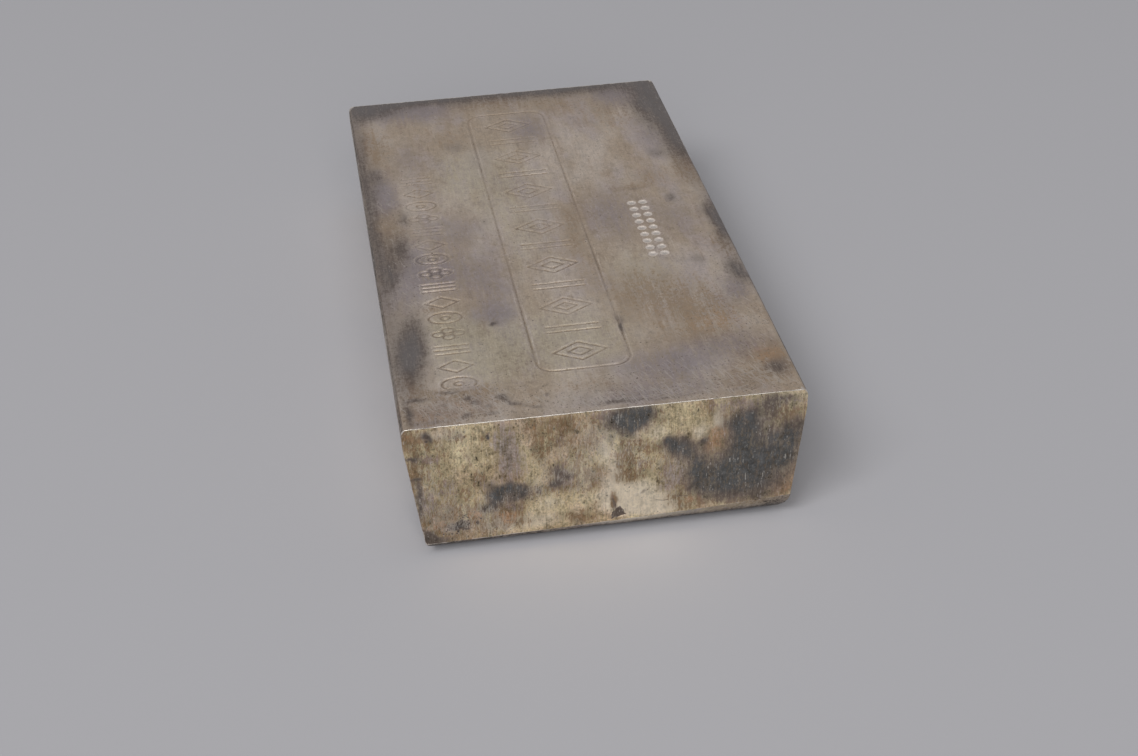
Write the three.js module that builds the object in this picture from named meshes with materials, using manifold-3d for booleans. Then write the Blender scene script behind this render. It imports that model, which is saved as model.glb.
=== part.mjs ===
// A cast ingot of refined silver: one solid bar, poured in an open mould and planed square at both ends.
// Millimetres, +Z up. The origin is the middle of the base, X runs across the bar and Y along it.
//
// The bar is drawn as its maker makes it. The section is the mould's: a flat base with a radius along each
// long edge, sides that lean outward so the casting drops out, and a short upright rim under the poured
// face. The section is run along the bar, with its outline eased at both ends. The mould's own end radius
// is then cut under each end. The planed ends are a little out of square and run into that radius, so
// below each end there is a foot that starts narrow at one side and widens towards the other.

import * as THREE from 'three';
import { mergeVertices } from 'three/addons/utils/BufferGeometryUtils.js';
import Module from 'manifold-3d';

// The bar's overall sizes.
const LENGTH = 144.0; // between the planed ends, along the longer side at +X
const WIDTH = 75.2; // across the rim, the widest line of the section
const HEIGHT = 28.7; // from the base to the poured face

// The mould's section.
const SIDE_DRAFT = 7.3; // degrees that each side leans out from the vertical
const RIM_HEIGHT = 4.0; // upright band between the drafted side and the poured face
const RIM_BLEND_RADIUS = 12.0; // where the drafted side turns into the rim
const TOP_EDGE_RADIUS = 1.1; // along the poured face's long edges
const BASE_RADIUS_LEFT = 4.0; // along the base's edge on -X
const BASE_RADIUS_RIGHT = 5.5; // along the base's edge on +X

// The ends.
const MOULD_END_RADIUS = 6.0; // where the mould's floor meets its end walls
const NEAR_STOCK = 0.02; // metal planed off the near end, at its corner on +X
const FAR_STOCK = 0.4; // metal planed off the far end, which is square
const NEAR_SKEW = 0.86; // degrees that the near end is out of square, planed deepest at -X
const END_EDGE_EASE = 0.35; // radius of the worn edge round each planed end

// How finely the round stretches are divided.
const FILLET_SEGMENTS = 8; // half the facets in the arc of each fillet
const EASE_SEGMENTS = 4; // across the worn edge of an end

const CUT_CLEARANCE = 5.0; // how far a cutter reaches past the bar

const SILVER = new THREE.MeshStandardMaterial({ color: 0x9a9183, roughness: 0.42, metalness: 0.9 });

const wasm = await Module();
wasm.setup();

// A manifold solid from a closed three.js geometry.
function solidFrom(geometry) {
  const bare = geometry.clone();
  bare.deleteAttribute('normal');
  bare.deleteAttribute('uv');
  const welded = mergeVertices(bare, 1e-5);
  const mesh = new wasm.Mesh({
    numProp: 3,
    vertProperties: new Float32Array(welded.attributes.position.array),
    triVerts: new Uint32Array(welded.index.array),
  });
  return new wasm.Manifold(mesh);
}

// A three.js geometry from a manifold solid, with flat faces and crisp edges.
function geometryFrom(solid) {
  const mesh = solid.getMesh();
  const geometry = new THREE.BufferGeometry();
  geometry.setAttribute('position', new THREE.BufferAttribute(new Float32Array(mesh.vertProperties), 3));
  geometry.setIndex(new THREE.BufferAttribute(new Uint32Array(mesh.triVerts), 1));
  geometry.computeVertexNormals();
  return geometry;
}

// Adds one rounded corner to an outline that runs counter-clockwise. The fillet touches both of the
// corner's straight sides, and the outline is carried to it by a line.
function drawCorner(outline, before, corner, after) {
  const toBefore = before.point.clone().sub(corner.point).normalize();
  const toAfter = after.point.clone().sub(corner.point).normalize();
  const halfAngle = Math.acos(toBefore.dot(toAfter)) / 2;
  const tangentLength = corner.radius / Math.tan(halfAngle);
  const toCentre = toBefore.clone().add(toAfter).normalize();
  const centre = corner.point.clone().addScaledVector(toCentre, corner.radius / Math.sin(halfAngle));
  const start = corner.point.clone().addScaledVector(toBefore, tangentLength);
  const finish = corner.point.clone().addScaledVector(toAfter, tangentLength);
  const startAngle = Math.atan2(start.y - centre.y, start.x - centre.x);
  const finishAngle = Math.atan2(finish.y - centre.y, finish.x - centre.x);
  outline.absarc(centre.x, centre.y, corner.radius, startAngle, finishAngle, false);
}

// The mould's section, seen from the near end: base, side and rim, with every corner rounded.
function sectionShape() {
  const rimFoot = HEIGHT - RIM_HEIGHT;
  const halfRim = WIDTH / 2;
  const halfBase = halfRim - rimFoot * Math.tan(THREE.MathUtils.degToRad(SIDE_DRAFT));
  const corner = (x, z, radius) => ({ point: new THREE.Vector2(x, z), radius });
  const corners = [
    corner(-halfBase, 0, BASE_RADIUS_LEFT),
    corner(halfBase, 0, BASE_RADIUS_RIGHT),
    corner(halfRim, rimFoot, RIM_BLEND_RADIUS),
    corner(halfRim, HEIGHT, TOP_EDGE_RADIUS),
    corner(-halfRim, HEIGHT, TOP_EDGE_RADIUS),
    corner(-halfRim, rimFoot, RIM_BLEND_RADIUS),
  ];
  const outline = new THREE.Shape();
  outline.moveTo(0, 0);
  // The outline starts in the middle of the base, so its first corner is the second in the list.
  for (let step = 1; step <= corners.length; step += 1) {
    const before = corners[step - 1];
    const here = corners[step % corners.length];
    const after = corners[(step + 1) % corners.length];
    drawCorner(outline, before, here, after);
  }
  outline.closePath();
  return outline;
}

// The section run along the bar, its outline eased at both ends, and the near end turned out of square.
function castBar() {
  const geometry = new THREE.ExtrudeGeometry(sectionShape(), {
    depth: LENGTH - 2 * END_EDGE_EASE,
    curveSegments: FILLET_SEGMENTS,
    bevelThickness: END_EDGE_EASE,
    bevelSize: END_EDGE_EASE,
    bevelOffset: -END_EDGE_EASE,
    bevelSegments: EASE_SEGMENTS,
  });
  geometry.translate(0, 0, END_EDGE_EASE - LENGTH / 2);
  geometry.rotateX(Math.PI / 2);
  const slope = Math.tan(THREE.MathUtils.degToRad(NEAR_SKEW));
  const position = geometry.attributes.position;
  for (let vertex = 0; vertex < position.count; vertex += 1) {
    if (position.getY(vertex) < 0) {
      const planedDeeper = (WIDTH / 2 - position.getX(vertex)) * slope;
      position.setY(vertex, position.getY(vertex) + planedDeeper);
    }
  }
  return solidFrom(geometry);
}

// What the mould's end radius takes from under one end: a square bar with a quarter round cut from it.
// side is -1 for the near end and 1 for the far end, and stock is the metal that planing took off it.
function endRadiusCutter(side, stock) {
  const cove = new THREE.Shape();
  cove.moveTo(-CUT_CLEARANCE, -CUT_CLEARANCE);
  cove.lineTo(MOULD_END_RADIUS, -CUT_CLEARANCE);
  cove.lineTo(MOULD_END_RADIUS, 0);
  cove.absarc(MOULD_END_RADIUS, MOULD_END_RADIUS, MOULD_END_RADIUS, -Math.PI / 2, -Math.PI, true);
  cove.lineTo(-CUT_CLEARANCE, MOULD_END_RADIUS);
  cove.closePath();
  const span = WIDTH + 2 * CUT_CLEARANCE;
  const geometry = new THREE.ExtrudeGeometry(cove, {
    depth: span,
    curveSegments: FILLET_SEGMENTS,
    bevelEnabled: false,
  });
  geometry.translate(0, 0, -span / 2);
  geometry.applyMatrix4(
    new THREE.Matrix4().makeBasis(
      new THREE.Vector3(0, -side, 0), // the cove's X points inward along the bar
      new THREE.Vector3(0, 0, 1), // the cove's Y points up
      new THREE.Vector3(-side, 0, 0), // its length runs across the bar
    ),
  );
  const mouldWall = LENGTH / 2 + stock;
  geometry.translate(0, side * mouldWall, 0);
  return solidFrom(geometry);
}

function ingot() {
  const solid = castBar()
    .subtract(endRadiusCutter(-1, NEAR_STOCK))
    .subtract(endRadiusCutter(1, FAR_STOCK));
  const mesh = new THREE.Mesh(geometryFrom(solid), SILVER);
  mesh.name = 'ingot';
  return mesh;
}

const bar = new THREE.Group();
bar.add(ingot());

export default bar;
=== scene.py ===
"""A cast ingot of refined silver, tarnished and handled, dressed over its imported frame."""

import logging
import math
from collections.abc import Callable, Iterable
from dataclasses import dataclass, field
from enum import Enum
from random import Random

import bmesh
import bpy
import numpy as np
from mathutils import Matrix, Vector, noise


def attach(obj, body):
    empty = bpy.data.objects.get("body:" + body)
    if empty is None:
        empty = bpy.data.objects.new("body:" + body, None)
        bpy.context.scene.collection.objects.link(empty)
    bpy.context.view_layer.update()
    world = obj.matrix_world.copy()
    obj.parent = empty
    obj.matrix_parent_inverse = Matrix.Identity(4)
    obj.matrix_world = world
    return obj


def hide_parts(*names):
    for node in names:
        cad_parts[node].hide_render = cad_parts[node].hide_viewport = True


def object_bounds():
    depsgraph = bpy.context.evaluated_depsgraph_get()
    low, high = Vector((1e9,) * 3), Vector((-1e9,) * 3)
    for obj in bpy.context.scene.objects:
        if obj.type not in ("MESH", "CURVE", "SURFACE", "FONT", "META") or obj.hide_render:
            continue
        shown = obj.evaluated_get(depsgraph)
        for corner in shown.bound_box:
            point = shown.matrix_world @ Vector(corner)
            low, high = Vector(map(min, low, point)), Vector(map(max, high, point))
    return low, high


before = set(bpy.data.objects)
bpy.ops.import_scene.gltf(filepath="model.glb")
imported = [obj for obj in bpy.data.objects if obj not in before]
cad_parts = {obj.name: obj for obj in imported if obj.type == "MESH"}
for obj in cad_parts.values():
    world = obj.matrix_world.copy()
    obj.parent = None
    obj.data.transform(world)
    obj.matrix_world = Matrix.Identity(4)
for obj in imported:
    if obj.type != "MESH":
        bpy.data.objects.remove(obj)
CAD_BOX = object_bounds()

LOG = logging.getLogger("ingot")
MM = 0.001
WELD = 1e-7
FILM_ATTRIBUTES = ("films_a", "films_b")

Pair = tuple[float, float]
Triple = tuple[float, float, float]
Stroke = list[Pair]
Spot = tuple[float, ...]
Traces = dict[str, np.ndarray]
Face = bmesh.types.BMFace
Socket = bpy.types.NodeSocket


class Finish(Enum):
    """The three surfaces of the bar, in the order of its material slots."""

    POURED = 0
    PLANED = 1
    MOULDED = 2


class Zone(Enum):
    """A face of the bar."""

    POURED = 0
    NEAR_END = 1
    FAR_END = 2
    LEFT_SIDE = 3
    RIGHT_SIDE = 4
    BASE = 5
    FOOT = 6

    @property
    def axes(self) -> tuple[int, int]:
        """The two axes that a place on this face is measured along."""
        if self in (Zone.POURED, Zone.BASE):
            return (0, 1)
        return (1, 2) if self in (Zone.LEFT_SIDE, Zone.RIGHT_SIDE) else (0, 2)

    @property
    def finish(self) -> Finish:
        """The surface that this face has."""
        if self is Zone.POURED:
            return Finish.POURED
        return Finish.PLANED if self in (Zone.NEAR_END, Zone.FAR_END) else Finish.MOULDED

    @staticmethod
    def facing(normal: Vector) -> "Zone":
        """Finds the face that a normal belongs to.

        Args:
            normal: An outward direction.

        Returns:
            The face that looks most nearly along it.
        """
        x, y, z = normal
        if z < -0.05 and abs(y) > max(abs(x), 0.1):
            return Zone.FOOT
        if abs(y) > max(abs(x), abs(z)):
            return Zone.FAR_END if y > 0 else Zone.NEAR_END
        if abs(x) > abs(z):
            return Zone.RIGHT_SIDE if x > 0 else Zone.LEFT_SIDE
        return Zone.POURED if z > 0 else Zone.BASE


class Film(Enum):
    """A kind of tarnish or wear, with the attribute and the channel that carry it; the wear channel also
    carries painted highlights.
    """

    SOOT = (0, 0)
    VIOLET = (0, 1)
    BRONZE = (0, 2)
    OLIVE = (0, 3)
    BARE = (1, 0)
    RUST = (1, 1)
    SPECKS = (1, 2)
    WEAR = (1, 3)


# The shape of the bar.


@dataclass
class Casting:
    """The bar as it is cast and planed. Its overall sizes come from the frame."""

    width: float
    length: float
    height: float
    rim_height: float = 4.0 * MM
    side_draft: float = math.radians(7.3)
    rim_blend_radius: float = 12.0 * MM
    top_edge_radius: float = 1.1 * MM
    base_radii: Pair = (4.0 * MM, 5.5 * MM)  # on the left and on the right
    mould_end_radius: float = 6.0 * MM
    stocks: Pair = (0.02 * MM, 0.4 * MM)  # metal planed off the near end and off the far end
    near_skew: float = math.radians(0.86)
    end_edge_ease: float = 0.35 * MM
    support: float = 0.25 * MM
    poured_pitch: float = 1.2 * MM
    handled_strip: float = 12.6 * MM
    near_end_pitch: float = 0.5 * MM
    coarse_pitch: float = 2.0 * MM
    end_margin: float = 1.5 * MM
    grid_foot: float = 2.2 * MM
    facets: tuple[int, int, int, int] = (8, 3, 5, 3)  # base radius, rim blend, top edge, worn end edge
    mould_end_planes: int = 12
    crease_angle: float = math.radians(5)
    bm: bmesh.types.BMesh = field(default_factory=bmesh.new)

    @property
    def rim_foot(self) -> float:
        """Height at which the drafted side turns into the upright rim."""
        return self.height - self.rim_height

    @property
    def near_normal(self) -> Vector:
        """Outward direction of the near end."""
        return Vector((-math.sin(self.near_skew), -math.cos(self.near_skew), 0.0))

    @property
    def near_corner(self) -> Vector:
        """The foot of the near end's plane at the right side, where the bar is longest."""
        return Vector((self.width / 2, -self.length / 2, 0.0))

    def build(self) -> bmesh.types.BMesh:
        """Makes the whole shape.

        Returns:
            The bar as a closed mesh, with its faces marked by finish.
        """
        for step in (
            self.pour, self.round_long_edges, self.round_mould_ends, self.plane_ends,
            self.ease_ends, self.support_flats, self.grid_faces,
        ):
            step()
        bmesh.ops.recalc_face_normals(self.bm, faces=self.bm.faces)
        self.mark_creases()
        return self.bm

    def mark_creases(self) -> None:
        """Makes the shading smooth, apart from the crease where planing runs into the end radius."""
        for face in self.bm.faces:
            face.smooth = True
        for edge in self.bm.edges:
            low = max(vert.co.z for vert in edge.verts) < self.mould_end_radius
            planed = {abs(face.normal.y) > 0.999 for face in edge.link_faces}
            edge.smooth = not (low and len(planed) == 2 and edge.calc_face_angle(0.0) > self.crease_angle)

    def pour(self) -> None:
        """Makes the drafted block between the mould's end walls, with its upright rim."""
        near_stock, far_stock = self.stocks
        size = (self.width, self.length + near_stock + far_stock, self.height)
        middle = Vector((0.0, (far_stock - near_stock) / 2, self.height / 2))
        bmesh.ops.create_cube(self.bm, size=1.0)
        bmesh.ops.scale(self.bm, vec=size, verts=self.bm.verts)
        bmesh.ops.translate(self.bm, vec=middle, verts=self.bm.verts)
        self.cut(self.bm.faces, Vector((0, 0, self.rim_foot)), Vector((0, 0, 1)))
        floor_verts = [vert for vert in self.bm.verts if vert.co.z < self.rim_foot / 2]
        half_base = self.width / 2 - self.rim_foot * math.tan(self.side_draft)
        bmesh.ops.scale(self.bm, vec=(half_base / (self.width / 2), 1, 1), verts=floor_verts)

    def round_long_edges(self) -> None:
        """Rounds every edge that runs along the bar, and blends the side into the rim."""
        square, straight = math.radians(90), math.radians(180)
        for side, base_radius in zip((-1, 1), self.base_radii):
            for z, radius, corner, facets in (
                (0.0, base_radius, square + self.side_draft, self.facets[0]),
                (self.rim_foot, self.rim_blend_radius, straight - self.side_draft, self.facets[1]),
                (self.height, self.top_edge_radius, square, self.facets[2]),
            ):
                edges = []
                for edge in self.bm.edges:
                    a, b = (vert.co for vert in edge.verts)
                    lengthwise = abs(a.y - b.y) > self.length / 2
                    if lengthwise and a.x * side > 0 and abs(a.z - z) < 0.01 * MM:
                        edges.append(edge)
                self.bevel(edges, radius / math.tan(corner / 2), facets)

    def bevel(self, edges: list[bmesh.types.BMEdge], offset: float, segments: int) -> None:
        """Rounds some edges.

        Args:
            edges: The edges.
            offset: How far the round reaches along the faces beside each edge.
            segments: Facets across the round.
        """
        bmesh.ops.bevel(
            self.bm, geom=edges, offset=offset, offset_type="OFFSET", segments=segments,
            profile=0.5, affect="EDGES", material=-1, clamp_overlap=True,
        )

    def round_mould_ends(self) -> None:
        """Rounds the floor's two end edges, as the mould does, by planes that touch the radius."""
        radius = self.mould_end_radius
        for side, stock in zip((-1, 1), self.stocks):
            wall = self.length / 2 + stock
            centre = Vector((0.0, side * (wall - radius), radius))
            for step in range(1, self.mould_end_planes):
                angle = math.radians(90) * step / self.mould_end_planes
                outward = Vector((0.0, side * math.cos(angle), -math.sin(angle)))
                self.cut_off(centre + outward * radius, outward)

    def plane_ends(self) -> None:
        """Planes both ends flat: the near end a little out of square, the far end square."""
        self.cut_off(self.near_corner, self.near_normal)
        self.cut_off(Vector((0, self.length / 2, 0)), Vector((0, 1, 0)))
        for face in self.bm.faces:
            face.material_index = Zone.facing(face.normal).finish.value

    def ease_ends(self) -> None:
        """Wears the outline of each planed end, and leaves the crease at its foot."""
        for sign in (-1, 1):
            end = self.flat(1, sign)
            outline = []
            for edge in end.edges:
                beside = next(face for face in edge.link_faces if face is not end)
                if beside.normal.z > -0.5 and abs(beside.normal.y) < 0.2:
                    outline.append(edge)
            self.bevel(outline, self.end_edge_ease, self.facets[3])

    def support_flats(self) -> None:
        """Sets a narrow ring inside the flat faces, so that shading turns only at their edges."""
        flats = [self.flat(axis, sign) for axis, sign in ((1, -1), (1, 1), (2, 1), (2, -1))]
        for face in flats:
            bmesh.ops.inset_individual(self.bm, faces=[face], thickness=self.support, use_even_offset=True)

    def flat(self, axis: int, sign: int) -> Face:
        """Finds the large flat face at one end of an axis.

        Args:
            axis: 1 along the bar and 2 upward.
            sign: -1 for the lower end of the axis and 1 for the upper.

        Returns:
            The largest face that looks that way.
        """
        facing = [face for face in self.bm.faces if face.normal[axis] * sign > 0.99]
        return max(facing, key=lambda face: face.calc_area())

    def grid_faces(self) -> None:
        """Divides every face into small squares, which carry the waves, the marks and the films."""
        pitch, offset = self.poured_pitch, self.poured_pitch / 2
        half_width = self.width / 2 - self.top_edge_radius - self.support
        half_length = self.length / 2 - self.end_margin
        top_of_grid = self.height - self.top_edge_radius
        along = np.arange(-half_length, half_length, pitch)
        across = np.arange(-half_width + offset, half_width, pitch)
        fine_across = np.arange(-half_width, half_width, self.near_end_pitch)
        up = np.arange(self.grid_foot, top_of_grid, self.coarse_pitch)
        fine_up = np.arange(self.grid_foot, top_of_grid, self.near_end_pitch)
        x_axis, y_axis, z_axis = Vector((1, 0, 0)), Vector((0, 1, 0)), Vector((0, 0, 1))
        parts: dict[str, Callable[[Face], bool]] = {
            "top": lambda face: face.normal.z > 0.2 and abs(face.normal.x) < 0.2,
            "near": lambda face: face.normal.y < -0.2 and abs(face.normal.x) < 0.5,
            "far": lambda face: face.normal.y > 0.2 and abs(face.normal.x) < 0.5,
            "side": lambda face: abs(face.normal.x) > 0.2,
            "top or side": lambda face: parts["top"](face) or parts["side"](face),
            "handled": lambda face: parts["top"](face)
            and face.calc_center_median().y < self.handled_strip - self.length / 2,
            "floor": lambda face: face.normal.z < -0.9,
        }
        for part, axis, places in (
            ("top", x_axis, across),
            ("near", x_axis, fine_across),
            ("far", x_axis, fine_across[::3]),
            ("floor", x_axis, across[::2]),
            ("near", z_axis, fine_up),
            ("far", z_axis, fine_up[::3]),
            ("top or side", y_axis, along),
            ("handled", x_axis, across + offset),
            ("handled", y_axis, along[: int(self.handled_strip / pitch)] + offset),
            ("floor", y_axis, along[::2]),
            ("side", z_axis, up[2:]),
        ):
            faces = [face for face in self.bm.faces if parts[part](face)]
            for place in places:
                faces = self.cut(faces, axis * place, axis)

    def cut(self, faces: Iterable[Face], point: Vector, normal: Vector) -> list[Face]:
        """Cuts some faces by a plane, and leaves the rest whole.

        Args:
            faces: The faces to cut.
            point: A point of the plane.
            normal: The plane's normal.

        Returns:
            The faces, with the new ones.
        """
        faces = list(faces)
        edges = {edge for face in faces for edge in face.edges}
        verts = {vert for edge in edges for vert in edge.verts}
        result = bmesh.ops.bisect_plane(
            self.bm, geom=[*verts, *edges, *faces], dist=WELD, plane_co=point, plane_no=normal
        )
        return [part for part in result["geom"] if isinstance(part, Face)]

    def cut_off(self, point: Vector, outward: Vector) -> None:
        """Cuts away all metal outside a plane, and closes the cut with a face.

        Args:
            point: A point of the plane.
            outward: The plane's normal, towards the metal that goes.
        """
        parts = [*self.bm.verts, *self.bm.edges, *self.bm.faces]
        result = bmesh.ops.bisect_plane(
            self.bm, geom=parts, dist=WELD, plane_co=point, plane_no=outward, clear_outer=True
        )
        rim = [part for part in result["geom_cut"] if isinstance(part, bmesh.types.BMEdge)]
        bmesh.ops.contextual_create(self.bm, geom=rim)
        self.bm.normal_update()


# The struck marks and the damage. All places on a face are in millimetres.


class Punch(Enum):
    """The plain shapes that are struck into the poured face."""

    RING = "ring"
    LOZENGE = "lozenge"
    BARS = "bars"
    QUATREFOIL = "quatrefoil"


def ellipse(centre: Pair, radii: Pair, points: int = 28) -> Stroke:
    """Draws a closed ellipse, or a lozenge where it has four points.

    Args:
        centre: Its middle.
        radii: Its two half widths.
        points: How many points it has.

    Returns:
        Its outline, with the first point repeated at the end.
    """
    turns = [2 * math.pi * step / points for step in range(points + 1)]
    return [(centre[0] + radii[0] * math.cos(a), centre[1] + radii[1] * math.sin(a)) for a in turns]


def round_box(low: Pair, high: Pair, radius: float) -> Stroke:
    """Draws a closed box with round corners.

    Args:
        low: Its lowest corner.
        high: Its highest corner.
        radius: Radius of its corners.

    Returns:
        Its outline.
    """
    outline = []
    corners = ((high[0], high[1]), (low[0], high[1]), (low[0], low[1]), (high[0], low[1]))
    for quarter, (x, y) in enumerate(corners):
        x += -radius if quarter in (0, 3) else radius
        y += -radius if quarter in (0, 1) else radius
        for step in range(7):
            angle = math.pi / 2 * (quarter + step / 6)
            outline.append((x + radius * math.cos(angle), y + radius * math.sin(angle)))
    return [*outline, outline[0]]


@dataclass(frozen=True)
class StruckMarks:
    """The marks on the poured face. They are plain ornament and spell nothing."""

    row_x: float = -25.4
    row_start: float = -57.0
    row_pitch: float = 6.1
    row_count: int = 15
    row_radii: Pair = (3.3, 2.1)
    frame_low: Pair = (-10.3, -56.4)
    frame_high: Pair = (7.8, 60.0)
    frame_corner: float = 3.5
    band_x: float = -1.3
    band_start: float = -50.0
    band_pitch: float = 8.6
    band_count: int = 13
    band_radii: Pair = (5.2, 3.3)
    dots_x: Pair = (19.9, 22.4)
    dots_start: float = -15.4
    dots_pitch: float = 2.95
    dots_count: int = 9
    dot_radius: float = 1.08
    dot_depth: float = 0.3
    groove_half_width: float = 0.42
    groove_depth: float = 0.22
    burr_height: float = 0.06

    def punch(self, shape: Punch, centre: Pair) -> list[Stroke]:
        """Draws one punch of the left row.

        Args:
            shape: Which punch it is.
            centre: Its middle.

        Returns:
            Its strokes.
        """
        x, y = centre
        wide, tall = self.row_radii
        if shape is Punch.RING:
            return [ellipse(centre, (wide, tall)), ellipse(centre, (wide * 0.28, tall * 0.34))]
        if shape is Punch.LOZENGE:
            return [ellipse(centre, (wide, tall), 4)]
        if shape is Punch.BARS:
            return [[(x - wide, y + lift), (x + wide, y + lift)] for lift in (-tall * 0.7, 0.0, tall * 0.7)]
        petals = ((-wide * 0.6, 0.0), (wide * 0.6, 0.0), (0.0, -tall * 0.6), (0.0, tall * 0.6))
        return [ellipse((x + dx, y + dy), (wide * 0.36, tall * 0.42), 16) for dx, dy in petals]

    def grooves(self) -> list[Stroke]:
        """Lists every line that is struck as a groove.

        Returns:
            The strokes of the left row, the long frame and the band inside it.
        """
        strokes = [round_box(self.frame_low, self.frame_high, self.frame_corner)]
        shapes = list(Punch)
        for step in range(self.row_count):
            centre = (self.row_x, self.row_start + step * self.row_pitch)
            strokes.extend(self.punch(shapes[step % len(shapes)], centre))
        x, (wide, tall) = self.band_x, self.band_radii
        for step in range(self.band_count):
            y = self.band_start + step * self.band_pitch
            if step % 2:
                strokes.extend([(x - wide, y + lift), (x + wide, y + lift)] for lift in (-1.0, 1.0))
            else:
                strokes.extend(ellipse((x, y), (wide * part, tall * part), 4) for part in (1.0, 0.45))
        return strokes

    def dots(self) -> np.ndarray:
        """Lists the middles of the round punches of the right row."""
        rows = [self.dots_start + step * self.dots_pitch for step in range(self.dots_count)]
        return np.array([(x, y) for y in rows for x in self.dots_x])


def distance_to_strokes(places: np.ndarray, strokes: list[Stroke]) -> np.ndarray:
    """Measures how far each place is from the nearest stroke.

    Args:
        places: Places on a face, one to a row.
        strokes: The strokes.

    Returns:
        One distance for each place, which is infinite far from every stroke.
    """
    nearest = np.full(len(places), np.inf)
    for stroke in strokes:
        line = np.array(stroke)
        low, high = line.min(axis=0) - 2.0, line.max(axis=0) + 2.0
        inside = np.flatnonzero(np.all((places > low) & (places < high), axis=1))
        if not len(inside):
            continue
        starts, ends = line[:-1], line[1:]
        along = ends - starts
        offset = places[inside, None, :] - starts[None, :, :]
        share = np.clip((offset * along).sum(axis=2) / (along**2).sum(axis=1), 0.0, 1.0)
        gap = np.linalg.norm(offset - share[:, :, None] * along, axis=2).min(axis=1)
        nearest[inside] = np.minimum(nearest[inside], gap)
    return nearest


def gaps(places: np.ndarray, points: np.ndarray) -> np.ndarray:
    """Measures how far each place, to a row, is from each point, to a column."""
    return np.linalg.norm(places[:, None, :] - points[None, :, :2], axis=2)


def smoothstep(low: float, high: float, value: np.ndarray) -> np.ndarray:
    """Eases from 0 at low to 1 at high."""
    share = np.clip((value - low) / (high - low), 0.0, 1.0)
    return share * share * (3.0 - 2.0 * share)


def wander(places: np.ndarray, scale: Spot, seed: float) -> np.ndarray:
    """Samples smooth noise.

    Args:
        places: Places, one to a row.
        scale: Waves to a millimetre along each axis.
        seed: Moves the pattern.

    Returns:
        Values from about -1 to 1.
    """
    points = np.full((len(places), 3), seed)
    points[:, : places.shape[1]] += places * np.array(scale)
    return np.array([noise.noise(point) for point in points.tolist()])


def read_vectors(items: bpy.types.bpy_prop_collection, name: str) -> np.ndarray:
    """Reads one vector of each item.

    Args:
        items: The items.
        name: The vector's name.

    Returns:
        The vectors, one to a row.
    """
    values = np.empty(len(items) * 3)
    items.foreach_get(name, values)
    return values.reshape(-1, 3)


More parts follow.
